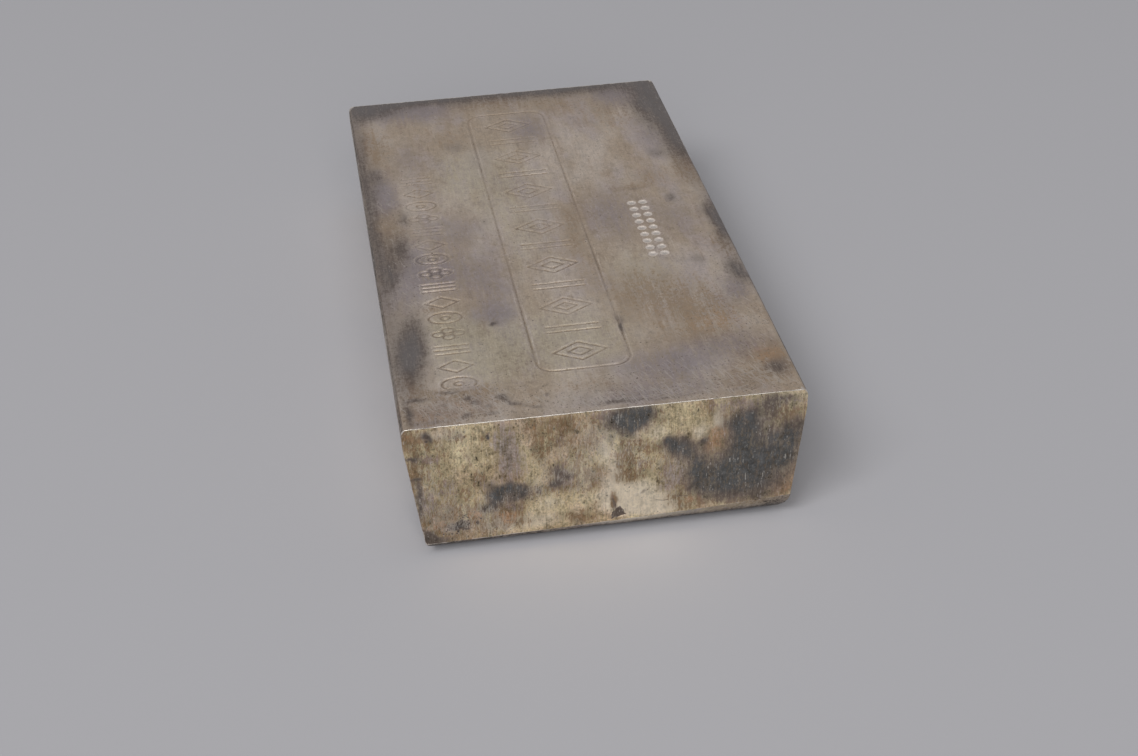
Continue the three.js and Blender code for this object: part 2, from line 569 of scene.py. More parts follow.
@dataclass
class Relief:
    """The fine shape of the surface: struck marks, pits, nicks and the slight waves of cast metal."""

    bar: Casting
    marks: StruckMarks
    cuts: int = 4
    edge_fade: float = 7.0
    pit_cluster: Pair = (-28.2, 6.2)
    pit_spread: Pair = (1.3, 0.85)
    pit_count: int = 60
    pit_depth: float = 0.05
    gouge: tuple[Pair, ...] = ((0.5, 3.9), (3.3, 4.6), (2.2, 6.8), (0.7, 5.4), (0.5, 3.9))
    gouge_depth: float = 0.08
    scratches: tuple[Stroke, ...] = (
        [(9.0, 7.15), (10.6, 6.85), (11.3, 6.95)],
        [(13.0, 7.5), (15.2, 7.3)],
        [(0.9, 5.6), (0.95, 8.6)],
    )
    scratch_depth: float = 0.04
    nick_depth: float = 0.09

    def pits(self) -> np.ndarray:
        """Scatters the corrosion pits of the near end.

        Returns:
            The middle and the radius of each, one to a row.
        """
        dice = Random(31)
        pits = [(-33.2, 25.7, 0.42), (-33.0, 26.4, 0.3), (-22.15, 25.6, 0.36), (-24.9, 6.4, 0.28)]
        for _ in range(self.pit_count):
            x = dice.gauss(self.pit_cluster[0], self.pit_spread[0])
            z = dice.gauss(self.pit_cluster[1], self.pit_spread[1]) + 0.35 * (x - self.pit_cluster[0])
            pits.append((x, z, dice.uniform(0.14, 0.32)))
        return np.array(pits)

    def refine(self) -> None:
        """Divides the squares that a mark or a pit crosses."""
        poured = [face for face in self.bar.bm.faces if face.normal.z > 0.999]
        middles = np.array([face.calc_center_median().xy for face in poured]) / MM
        struck = distance_to_strokes(middles, self.marks.grooves()) < self.marks.groove_half_width + 0.95
        struck |= gaps(middles, self.marks.dots()).min(axis=1) < self.marks.dot_radius + 0.8
        self.divide(poured, struck)
        near = [face for face in self.bar.bm.faces if face.normal.y < -0.99]
        middles = np.array([face.calc_center_median().xz for face in near]) / MM
        pits = self.pits()
        hurt = (gaps(middles, pits) - pits[:, 2]).min(axis=1) < 0.45
        hurt |= distance_to_strokes(middles, [*self.scratches, list(self.gouge)]) < 0.6
        hurt |= self.inside_gouge(middles) > -0.3
        self.divide(near, hurt)

    def divide(self, faces: list[Face], wanted: np.ndarray) -> None:
        """Divides some square faces into smaller squares.

        Args:
            faces: The faces to choose from.
            wanted: Which of them to divide.
        """
        edges = list({edge for face, take in zip(faces, wanted) if take for edge in face.edges})
        bmesh.ops.subdivide_edges(self.bar.bm, edges=edges, cuts=self.cuts, use_grid_fill=True)

    def inside_gouge(self, places: np.ndarray) -> np.ndarray:
        """Measures how far inside the gouge each place is.

        Args:
            places: Places on the near end.

        Returns:
            The distance inside its nearest side, which is negative outside.
        """
        depth = np.full(len(places), np.inf)
        for (ax, ay), (bx, by) in zip(self.gouge, self.gouge[1:]):
            length = math.hypot(bx - ax, by - ay)
            inward = ((places[:, 1] - ay) * (bx - ax) - (places[:, 0] - ax) * (by - ay)) / length
            depth = np.minimum(depth, inward)
        return depth

    def press(self, mesh: bpy.types.Mesh) -> Traces:
        """Moves the vertices inward, by the marks, the pits, the waves and the nicks.

        Args:
            mesh: The bar's mesh.

        Returns:
            How much of each mark every vertex has: "groove", "ridge", "dot", "pit" and "edge".
        """
        places = read_vectors(mesh.vertices, "co") / MM
        normals = read_vectors(mesh.vertex_normals, "vector")
        traces = {name: np.zeros(len(places)) for name in ("groove", "ridge", "dot", "pit", "edge")}
        inward = np.zeros(len(places))
        flat = np.abs(normals).max(axis=1) > 0.9985
        for zone in list(Zone)[:-1]:
            axis = ({0, 1, 2} - set(zone.axes)).pop()
            sign = 1.0 if zone in (Zone.POURED, Zone.FAR_END, Zone.RIGHT_SIDE) else -1.0
            here = np.flatnonzero(flat & (normals[:, axis] * sign > 0.9))
            face_places = places[here][:, zone.axes]
            inward[here] += self.waves(zone, face_places)
            if zone is Zone.POURED:
                inward[here] += self.strike(face_places, here, traces)
            if zone is Zone.NEAR_END:
                inward[here] += self.corrode(face_places, here, traces)
        self.trace_edges(mesh, places, flat, traces)
        worn = places[~flat]
        nicks = wander(worn, (0.55,) * 3, 4.7) + 0.5 * wander(worn, (1.7,) * 3, 9.1)
        inward[~flat] += self.nick_depth * np.clip(nicks - 0.1, 0.0, 1.0)
        places -= normals * inward[:, None]
        places = np.clip(places, np.array(CAD_BOX[0]) / MM, np.array(CAD_BOX[1]) / MM)
        mesh.vertices.foreach_set("co", (places * MM).ravel())
        mesh.update()
        return traces

    def trace_edges(
        self, mesh: bpy.types.Mesh, places: np.ndarray, flat: np.ndarray, traces: Traces
    ) -> None:
        """Notes which vertices stand on a worn edge, and keeps the crease bright partly as a painted
        highlight.

        Args:
            mesh: The bar's mesh.
            places: Places of its vertices.
            flat: Which vertices lie on a flat face.
            traces: Where to note how bright each edge is kept, by wear and, at the crease, by painted
                highlight.
        """
        bar, edge = self.bar, traces["edge"]
        near_gap = (places - np.array(bar.near_corner) / MM) @ np.array(bar.near_normal)
        far_gap = places[:, 1] - bar.length / 2 / MM
        rim = ~flat & (np.maximum(near_gap, far_gap) > -bar.end_edge_ease / MM - 0.02)
        top = places[:, 2] > bar.height / MM - 0.8
        for here, worn in ((~flat & top, 0.2), (rim, 0.42), (rim & top, 0.95)):
            edge[here] = worn
        # The crease is kept bright partly as worn silver and partly as a painted highlight, stronger at the
        # left.
        crease = np.unique([line.vertices[:] for line in mesh.edges if line.use_edge_sharp])
        edge[crease] = 0.95 - 0.4 * smoothstep(0.0, 30.0, places[crease, 0])

    def waves(self, zone: Zone, places: np.ndarray) -> np.ndarray:
        """Works out the slight waves of a flat face.

        Args:
            zone: The face.
            places: Places on it.

        Returns:
            How far each place is sunk.
        """
        if zone in (Zone.POURED, Zone.BASE):
            reach, inside = self.edge_fade, np.abs(places).max(axis=0) - np.abs(places)
        else:
            low, high = places.min(axis=0), places.max(axis=0)
            reach, inside = self.edge_fade / 2, np.minimum(places - low, high - places)
        broad = {Zone.POURED: 0.07, Zone.BASE: 0.12}.get(zone, 0.03 if zone.finish is Finish.PLANED else 0.16)
        layers = [(broad, (0.045, 0.03), 1.3 + zone.value)]
        if zone.finish is Finish.MOULDED:
            layers.append((0.05, (0.09, 0.4), 7.7 + zone.value))
        if zone is Zone.POURED:
            layers.append((0.012, (0.4, 0.02), 2.9))
        sunk = sum(depth * (0.5 + 0.5 * wander(places, scale, seed)) for depth, scale, seed in layers)
        return sunk * smoothstep(0.0, reach, inside.min(axis=1))

    def strike(self, places: np.ndarray, here: np.ndarray, traces: Traces) -> np.ndarray:
        """Strikes the marks into the poured face.

        Args:
            places: Places on it.
            here: Their vertices.
            traces: Where to note what each vertex has of a mark.

        Returns:
            How far each place is sunk.
        """
        marks = self.marks
        gap = distance_to_strokes(places, marks.grooves())
        force = 0.8 + 0.4 * wander(places, (0.09, 0.09), 5.5)
        force *= 1.0 - 0.25 * smoothstep(-35.0, 40.0, places[:, 1])
        groove = (1.0 - smoothstep(0.0, marks.groove_half_width, gap)) * force
        burr = np.exp(-(((gap - marks.groove_half_width - 0.14) / 0.13) ** 2)) * force
        dot = np.clip(1.0 - (gaps(places, marks.dots()).min(axis=1) / marks.dot_radius) ** 2, 0.0, 1.0)
        for name, trace in (("groove", groove), ("ridge", burr), ("dot", dot)):
            traces[name][here] = np.clip(trace, 0.0, 1.0)
        return marks.burr_height * (1.0 - burr) + marks.groove_depth * groove + marks.dot_depth * dot

    def corrode(self, places: np.ndarray, here: np.ndarray, traces: Traces) -> np.ndarray:
        """Sinks the pits, the gouge and the scratches of the near end.

        Args:
            places: Places on it.
            here: Their vertices.
            traces: Where to note what each vertex has of a mark.

        Returns:
            How far each place is sunk.
        """
        pits = self.pits()
        pit = 1.0 - smoothstep(0.35, 1.0, (gaps(places, pits) / pits[:, 2]).min(axis=1))
        ragged = 0.16 * wander(places, (2.2, 2.2), 21.0)
        gouge = smoothstep(-0.12, 0.12, self.inside_gouge(places) + ragged)
        scratch = 1.0 - smoothstep(0.0, 0.17, distance_to_strokes(places, list(self.scratches)))
        traces["pit"][here] = np.maximum.reduce([pit, 0.85 * gouge, 0.6 * scratch])
        return self.pit_depth * pit + self.gouge_depth * gouge + self.scratch_depth * scratch


# The films of tarnish.

# Each film on the near end: x, z, half width, half height and strength, then a turn in degrees.
NEAR_END_FILMS: dict[Film, tuple[Spot, ...]] = {
    Film.SOOT: (
        (5.5, 26.6, 2.9, 2.5, 1), (4, 23.9, 1.8, 2.2, 0.9), (2.2, 25.9, 1.8, 1.8, 0.75),
        (7.6, 27.7, 1.2, 1.2, 0.6), (-21.4, 12.5, 1.6, 1.8, 0.95), (-22.6, 10, 1.6, 1.5, 0.6),
        (-19.4, 13.8, 1.8, 0.9, 0.8), (-16.7, 12.2, 2, 1.4, 0.85), (-17.5, 14.3, 1.4, 0.8, 0.6),
        (12.2, 20.7, 1.1, 1, 0.85), (13.4, 18.8, 1.9, 1.6, 0.85), (15.2, 17.4, 1.6, 1.6, 0.6),
        (17, 13, 2.2, 3.4, 0.85), (18.4, 9.8, 2.2, 2.4, 0.55), (26.2, 22.6, 3.8, 3, 1),
        (25.8, 18, 2.2, 2.6, 0.8), (22.8, 12.2, 2.8, 3.2, 1), (27.6, 13, 4.4, 4.6, 0.95),
        (32.2, 14, 3.2, 3.2, 0.85), (34.6, 18.4, 2.2, 3.2, 0.95), (32.2, 19.2, 2.4, 1.3, 0.6),
        (27, 8, 6, 3, 0.5), (21.4, 8.6, 2.8, 2.6, 0.45), (36.5, 21.6, 0.7, 2, 0.6), (32.6, 27, 3, 1.2, 0.6),
        (30.6, 25.4, 1.4, 1.3, 0.4), (-9.3, 16.2, 1.1, 1.5, 0.65), (-9.8, 13.3, 1, 0.9, 0.75),
        (-7.6, 14.5, 1, 0.9, 0.65), (-34.3, 3.6, 1.1, 1.5, 0.85), (-33.4, 2.7, 2.4, 0.8, 0.85),
        (-35.2, 14.4, 0.6, 2, 0.7), (-35.8, 17.2, 1.2, 0.35, 0.7), (-36.2, 22.2, 2, 0.3, 0.6),
        (-34.8, 10.4, 0.5, 2, 0.6), (0.1, 21, 0.4, 1.6, 0.5), (-33.2, 25.9, 0.6, 0.9, 0.9, 30),
        (-22.1, 25.6, 0.4, 0.5, 1), (17.9, 18.7, 0.4, 0.6, 0.7), (-29, 6, 1.8, 0.8, 0.5),
        (-24.9, 6.3, 0.3, 0.4, 0.9), (1.2, 7.6, 0.3, 1.6, 0.5), (-12.9, 12.4, 0.4, 0.8, 0.6),
        (6.6, 9.5, 0.4, 0.4, 0.5), (-28.2, 6.3, 1.2, 0.6, 0.75), (-29.5, 5.7, 0.7, 0.4, 0.7),
        (-27, 5.2, 0.9, 0.3, 0.6), (-27.5, 7.2, 0.6, 0.5, 0.55), (-22.4, 9.6, 1.2, 0.8, 0.45),
    ),
    Film.VIOLET: (
        (-18.6, 22.8, 2, 4, 0.75, 15), (-18, 18.4, 2.3, 3.4, 0.55), (-34, 21.6, 3, 1, 0.5),
        (-29.4, 15.8, 1.4, 1.7, 0.5), (-34, 11.8, 1.2, 2.4, 0.65), (-0.4, 27.2, 1.8, 1.6, 0.65),
        (0.6, 24.6, 1.4, 2.6, 0.5), (25, 27.2, 4, 1.7, 0.65), (-8.6, 15, 2.1, 2.3, 0.5),
        (20.4, 15.4, 2.6, 1.6, 0.5), (30, 16.6, 2.6, 2.4, 0.5), (13.2, 13.4, 2.2, 3, 0.6),
        (-8.5, 21.6, 1.3, 3.4, 0.3), (-25.2, 22, 2, 3, 0.28), (6.2, 15.6, 1, 1, 0.4),
        (-17.8, 9.6, 1.6, 1.2, 0.5), (-28.6, 6, 2.2, 1.2, 0.5), (35.4, 26, 1.6, 2, 0.45),
        (11, 10.6, 1.8, 1.2, 0.35), (-22.4, 14.6, 2.4, 1.2, 0.4), (-31.4, 13.6, 2.6, 1.2, 0.35),
        (24, 7.4, 6, 1.6, 0.45), (-1.8, 19.8, 1.8, 1.6, 0.35),
    ),
    Film.BRONZE: (
        (-36.7, 26.8, 0.9, 1.9, 0.8), (-28, 26.4, 1.8, 1, 0.5), (-31.8, 7.4, 3.2, 2.4, 0.75),
        (-33.4, 5.6, 1.6, 1.4, 0.75), (-30.2, 10.6, 2.8, 1.8, 0.5), (-24.6, 8.4, 2.2, 1.6, 0.5),
        (-19.6, 7, 2.4, 2, 0.75), (-8, 26.4, 2.2, 1.5, 0.7), (-9, 23.6, 1.2, 2.2, 0.5),
        (-12.2, 22.6, 1.4, 2.4, 0.6), (-12.6, 19.4, 1.2, 2, 0.35), (-6.5, 19.6, 1.2, 3, 0.5),
        (-3.6, 14.2, 2, 2.2, 0.7), (-3.2, 22, 1.7, 2.4, 0.45), (3.6, 18, 2.2, 3, 0.65),
        (5.8, 19.4, 2, 1.2, 0.4), (4.2, 13.8, 1.8, 1.6, 0.6), (7, 15, 1.4, 1.2, 0.45),
        (-7.4, 5.6, 2.2, 1, 0.5), (-4.8, 5, 1.8, 0.9, 0.6), (-3.2, 7.8, 1.4, 1.2, 0.35),
        (17.9, 18.6, 0.6, 0.8, 0.9), (20.2, 19, 2.6, 3, 0.5), (36, 22, 1.4, 3.4, 0.7),
        (33.5, 23.5, 1.8, 1.8, 0.5), (31, 25, 1.8, 2.4, 0.6), (29.6, 19.2, 2, 2.4, 0.5),
        (13.2, 8.2, 1.8, 0.9, 0.5), (15.6, 5.6, 2.4, 1, 0.5), (9, 26.6, 1.2, 1.8, 0.55),
        (-15, 27, 0.9, 1.6, 0.65), (-13.2, 26.8, 1.4, 1, 0.4), (-24, 16.7, 0.8, 1.4, 0.6),
        (-35.8, 17.8, 1.6, 3, 0.6), (22, 6.6, 9, 1.6, 0.5), (-34.8, 20, 1.4, 6, 0.35), (-17, 5.2, 4, 1, 0.35),
        (19.6, 26.8, 1.6, 1.8, 0.45), (10.4, 19, 1.4, 1.4, 0.45), (10.8, 14, 1.2, 2.2, 0.4),
        (30.4, 6.4, 5, 1.2, 0.55), (-11.6, 12.8, 2.6, 1, 0.35), (1.2, 8, 0.5, 1.8, 0.6),
        (-26.4, 13.6, 1.6, 1.6, 0.35), (14.6, 10.4, 1.4, 1.6, 0.5), (-2, 26.6, 1.6, 1.8, 0.35),
        (24.4, 24.6, 2.4, 2, 0.4), (-30.4, 23.4, 1.2, 2.6, 0.25), (-9, 14.8, 2, 2.2, 0.75),
        (-16.8, 12, 2.2, 1.4, 0.6), (-33.2, 25.9, 0.8, 1.1, 0.9), (-34, 16, 5, 14, 0.24), (-25, 6, 4, 3, 0.3),
        (-22.1, 25.6, 0.6, 0.7, 0.9), (-34, 3.2, 2, 1.4, 0.9), (1.2, 7.6, 0.4, 1.6, 0.8),
        (-32.8, 6.6, 1.6, 0.9, 0.7), (-31.4, 8.4, 1.2, 1.5, 0.6), (-28.8, 8.9, 1.1, 0.9, 0.45),
        (-19.4, 7.6, 1.1, 1.7, 0.75), (-20.8, 6, 1.5, 0.6, 0.7), (-25.4, 7.4, 1.4, 1.2, 0.5),
        (-16.8, 9.2, 1.3, 0.9, 0.5), (-31, 3.5, 2.2, 0.5, 0.5), (-22, 3.7, 1.4, 0.4, 0.45),
    ),
    Film.OLIVE: (
        (-32, 18.6, 2.8, 3.6, 0.8), (-23.2, 21, 2.4, 4, 0.5), (-13.4, 18, 2.2, 4, 0.5),
        (-8, 9.6, 4.6, 2.4, 0.5), (14.6, 25, 4, 3, 0.7), (8.2, 12.8, 2, 3.4, 0.6), (-27, 12.2, 3.4, 1.5, 0.7),
        (-5.4, 18.4, 1.6, 3.4, 0.5), (9, 20.6, 1.8, 3.4, 0.5), (-30.6, 8.6, 1.6, 2.6, 0.5),
        (-12.6, 12.4, 2.2, 3.4, 0.4), (-33, 23.6, 2, 1.8, 0.5),
    ),
    Film.BARE: (
        (2.8, 9.2, 4.4, 2.8, 0.7), (2, 14, 1.4, 4.4, 0.6), (7.4, 7, 5.4, 1.9, 0.7), (-14, 5.6, 5.4, 1.4, 0.5),
        (20.8, 23.6, 0.9, 2.4, 0.75), (28.7, 21.4, 0.9, 2.2, 0.7), (-21.2, 5.8, 1.7, 1.1, 0.45),
        (-0.6, 19, 1.1, 3, 0.45), (17.4, 21, 1.6, 1.8, 0.5), (10, 5.2, 4.6, 0.9, 0.5),
        (-11.2, 9, 1.6, 1.2, 0.35), (-31.8, 26.8, 3, 1, 0.4), (9.4, 22.6, 2.2, 2, 0.35),
    ),
    Film.RUST: (
        (-32.6, 6.3, 1.6, 0.8, 0.6), (-19.2, 6.6, 1.3, 1.3, 0.5), (-24.8, 8, 1.2, 0.9, 0.4),
        (20.8, 20.6, 1.5, 1.5, 0.75), (20.4, 17.8, 2.2, 2.6, 0.45), (33.8, 7.6, 2.4, 2.3, 0.9),
        (34.8, 11, 0.9, 2.2, 0.6), (-18.8, 7, 1.8, 1.3, 0.3), (-32.4, 6.8, 1.6, 1.2, 0.45),
        (16, 7, 2, 0.7, 0.5), (20.4, 9.4, 0.8, 2.4, 0.5), (-36.6, 27.2, 0.8, 0.8, 0.6),
        (-14.4, 27.2, 0.9, 0.8, 0.5), (-26, 8.6, 1.2, 0.8, 0.4), (35.8, 23.8, 0.8, 1.6, 0.4),
        (1.1, 8.6, 0.4, 1.2, 0.5), (26.4, 7.6, 0.8, 1.2, 0.4),
    ),
    Film.SPECKS: (
        (-27.8, 26.4, 2.2, 1.1, 1), (-1.8, 22.4, 2.8, 3.2, 1), (-28.6, 6.4, 3.2, 1.8, 1),
        (-20.8, 5.4, 2.6, 1.8, 0.9), (-6, 16, 3.4, 4, 0.6), (-31.4, 9, 3.4, 3.4, 0.8),
        (-12.4, 12.6, 2.4, 2.4, 0.6), (-4, 13.8, 2.4, 2.4, 0.8), (4, 18, 2.8, 3.6, 0.5),
        (-24, 9, 3.6, 2.4, 0.6), (11.6, 14.4, 2, 5, 0.5), (-33.2, 15, 2.4, 5, 0.4),
    ),
}

# Each film on the poured face: x, y, half width, half length and strength, then a turn in degrees.
POURED_FILMS: dict[Film, tuple[Spot, ...]] = {
    Film.SOOT: (
        (-33.2, -44.6, 2.7, 11.5, 1, -6), (-16.2, -36.8, 0.6, 0.7, 0.8), (-33.4, 68, 5.4, 5, 0.7),
        (0, 72.8, 44, 2.6, 0.8), (35, 63, 3.6, 11, 0.8), (36.4, 47, 2, 12, 0.65), (36.4, -4, 1.3, 7, 0.95),
        (35.6, -26, 1.8, 4.4, 0.7), (33.8, -63.4, 2.2, 2.6, 0.55), (7.9, -42, 0.6, 3, 0.7),
        (29, 8.6, 0.9, 1.4, 0.6), (-13.2, 6.2, 0.6, 1.2, 0.4), (-27.4, -59.6, 2.6, 0.6, 0.5),
        (-33.6, -61.8, 1.6, 0.6, 0.5), (-36.8, 14, 1.6, 44, 0.45), (-24.4, -62.4, 0.7, 0.7, 0.6),
        (-23.4, -64.6, 1, 1, 0.6), (-18.2, -62.6, 1.2, 0.8, 0.5, -30), (-16.6, -65, 2.2, 0.6, 0.6, -35),
        (-35.8, -66, 0.7, 2.8, 0.6), (-30.2, -66.6, 1.2, 0.6, 0.45), (-25, -68.4, 1, 0.6, 0.5),
        (-12.6, -67.4, 1.2, 0.6, 0.5, -20), (-9.4, -64.4, 0.5, 0.6, 0.5), (-20.4, -68.6, 1.4, 0.5, 0.45),
        (2.4, -69.2, 3, 0.9, 0.55), (-0.6, -64.6, 0.5, 0.9, 0.4), (-31, -69.4, 3, 0.7, 0.35),
        (-28.6, -63.6, 1, 0.5, 0.4), (-21, -66.4, 0.6, 0.6, 0.45), (-31.6, -3, 1.8, 5.4, 0.6),
        (-34.6, -13, 1.6, 7, 0.6), (26, -69.4, 5, 0.7, 0.3), (-15, 43.6, 3, 2.6, 0.35),
        (10, -69.6, 6, 0.6, 0.35), (-33.6, 33, 1.8, 3.6, 0.45), (30, 31, 2, 2.6, 0.35),
        (28.6, -19.6, 1.6, 2, 0.4), (-29.8, 11, 1, 3.2, 0.45), (-23.8, 71, 10, 2, 0.45),
        (22, 14.8, 2.2, 0.6, 0.3), (0, 75, 50, 7, 0.45), (-38.6, 16, 4, 50, 0.38), (38.6, 20, 5, 58, 0.33),
        (34, 56, 6, 12, 0.4), (14, 71, 14, 4, 0.35), (37, 34, 3, 8, 0.45),
    ),
    Film.VIOLET: (
        (-22, 67, 9, 6.4, 0.65), (-33.4, 23, 3, 8, 0.7), (-15, -20, 4.6, 10, 0.42), (-24.4, -15, 5.4, 8, 0.5),
        (-15.6, -33.4, 3.8, 4, 0.55), (14.6, -58.6, 10, 5.6, 0.6), (33, -33, 2.8, 6, 0.6),
        (14.6, 4, 6, 12, 0.45), (3, 51, 4.6, 8, 0.55), (-32, -20, 3, 8, 0.5), (-10, 36, 3, 9, 0.3),
        (28, -53, 7, 4, 0.4), (8, -68, 14, 3, 0.45), (27.6, 66, 6.4, 7, 0.65), (-21, 4, 8, 8, 0.4),
        (28.4, -1, 4.4, 9, 0.35), (-29, -9, 2, 7, 0.5), (31, 40, 3.4, 9, 0.45), (-26, 40, 4, 10, 0.35),
        (0.6, 12, 3, 12, 0.25), (-27.6, -66, 9, 4, 0.3),
    ),
    Film.BRONZE: (
        (14.6, -30, 7, 9, 0.5), (25, -39, 7, 9, 0.6), (23, -50, 6, 3.6, 0.5), (-8, 67.6, 10, 4.6, 0.6),
        (-34.6, -55, 1.8, 5.6, 0.7), (31, -57, 4.4, 4, 0.6), (34.8, -14, 2, 6, 0.7), (-34, 10, 2.8, 8, 0.75),
        (5, -6, 2.4, 14, 0.4), (-30, -68, 8, 2.8, 0.6), (35.4, 26, 2, 11, 0.7), (-22, -60.6, 4, 2.2, 0.5),
        (24, 56, 7, 9, 0.4), (20.4, 15.6, 3.6, 1.4, 0.6), (-33.4, 47, 3, 9, 0.65), (-32, -5, 2.2, 9, 0.6),
        (-15.6, 50, 6, 8, 0.3), (-27.6, -29, 1.4, 3, 0.5), (27, 20, 4.4, 4, 0.35), (8, 64, 8, 4, 0.35),
        (27.6, -66, 6, 3, 0.6), (-32, -60, 3, 1.6, 0.4), (4, -66, 5, 4, 0.35), (34, -60, 3, 5, 0.5),
        (-27, -63, 6, 3.6, 0.4), (-2, -62.6, 6, 2, 0.3), (-25.4, -60.8, 1.2, 0.7, 0.6),
        (-29.6, -64.8, 1, 0.9, 0.6), (-32.6, -66.4, 0.9, 1.2, 0.5), (-27.4, -67.2, 0.8, 1, 0.6),
        (-21.6, -63.6, 0.7, 1, 0.6), (-19.8, -65.4, 0.8, 0.8, 0.5), (-22.6, -68.2, 1, 0.7, 0.6),
        (-34.6, -64.6, 0.8, 0.9, 0.5), (-14.4, -66.4, 1.6, 0.7, 0.5), (-29.6, -61.4, 1, 0.6, 0.55),
        (6, 5, 2, 4, 0.35), (-25, 23, 3, 10, 0.3),
    ),
    Film.OLIVE: (
        (-18, -47, 8, 10, 0.7), (0, -46, 9, 10, 0.5), (-6, 10, 7, 30, 0.35), (16, -22, 8, 9, 0.4),
        (-25, -38, 4, 6, 0.8), (-14, 30, 8, 12, 0.4),
    ),
    Film.BARE: (
        (11.6, 12, 2.2, 30, 0.15), (22, -12, 5, 8, 0.15), (0, -30, 8, 20, 0.12),
    ),
    Film.RUST: (
        (26.6, -44, 4.6, 5, 0.36), (32.4, -58, 2.6, 2.6, 0.5), (-31, -67.6, 4, 1.6, 0.4),
        (0, 69, 6, 2.6, 0.45), (35.6, 24, 1.4, 6, 0.5), (-34.8, -56, 1.2, 4, 0.5), (-34.6, 50, 1.4, 6, 0.4),
        (-26, -64.6, 2.4, 1.2, 0.45), (-24.4, -66.4, 0.7, 1.8, 0.45), (34.4, -59.4, 2, 2, 0.45),
    ),
    Film.SPECKS: (
        (-27, -65, 10, 5, 0.9), (6, -68, 18, 3.4, 0.9), (30, -66, 7, 4.4, 0.9), (10, -61, 9, 3, 0.5),
        (-32, -2, 4, 26, 0.5), (32, -45, 5, 10, 0.4),
    ),
}
PLACED_FILMS = {Zone.NEAR_END: NEAR_END_FILMS, Zone.POURED: POURED_FILMS}


